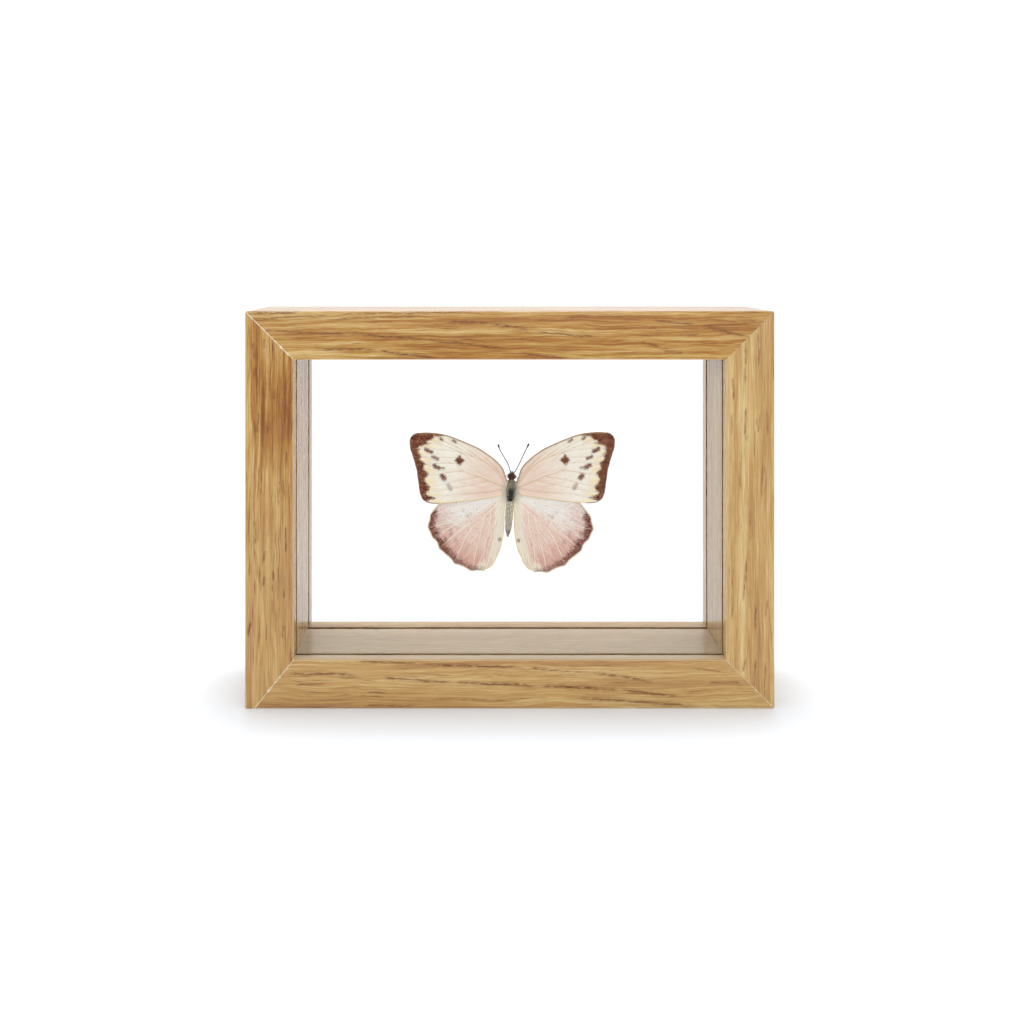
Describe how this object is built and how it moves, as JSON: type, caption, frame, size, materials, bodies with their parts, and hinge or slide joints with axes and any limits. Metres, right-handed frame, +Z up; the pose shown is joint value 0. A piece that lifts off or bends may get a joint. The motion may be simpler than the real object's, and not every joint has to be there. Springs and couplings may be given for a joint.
{
  "type": "framed butterfly specimen",
  "caption": "Free-standing mitred oak shadow frame with a glass pane near the front and the back, and a spread butterfly held between them.",
  "frame": {"origin": "middle of the footprint, on the surface that the frame stands on", "axes": "+Z up, +X to the right seen from the front, the front looks along -Y"},
  "size_m": [0.18, 0.0364, 0.135],
  "materials": {
    "oak": "clear matt oil on pale oak",
    "glass": "clear polished float glass",
    "clear_glue": "clear dried glue",
    "insect_body": "dry chitin under fine hair",
    "wing_scales": "matt wing scales, cream and rose with brown borders"
  },
  "bodies": {
    "root": {"top_rail": "oak", "bottom_rail": "oak", "left_rail": "oak", "right_rail": "oak", "front_glass": "glass", "back_glass": "glass", "glue_dab": "clear_glue", "body": "insect_body", "left_forewing": "wing_scales", "right_forewing": "wing_scales", "left_hindwing": "wing_scales", "right_hindwing": "wing_scales"}
  },
  "joints": []
}
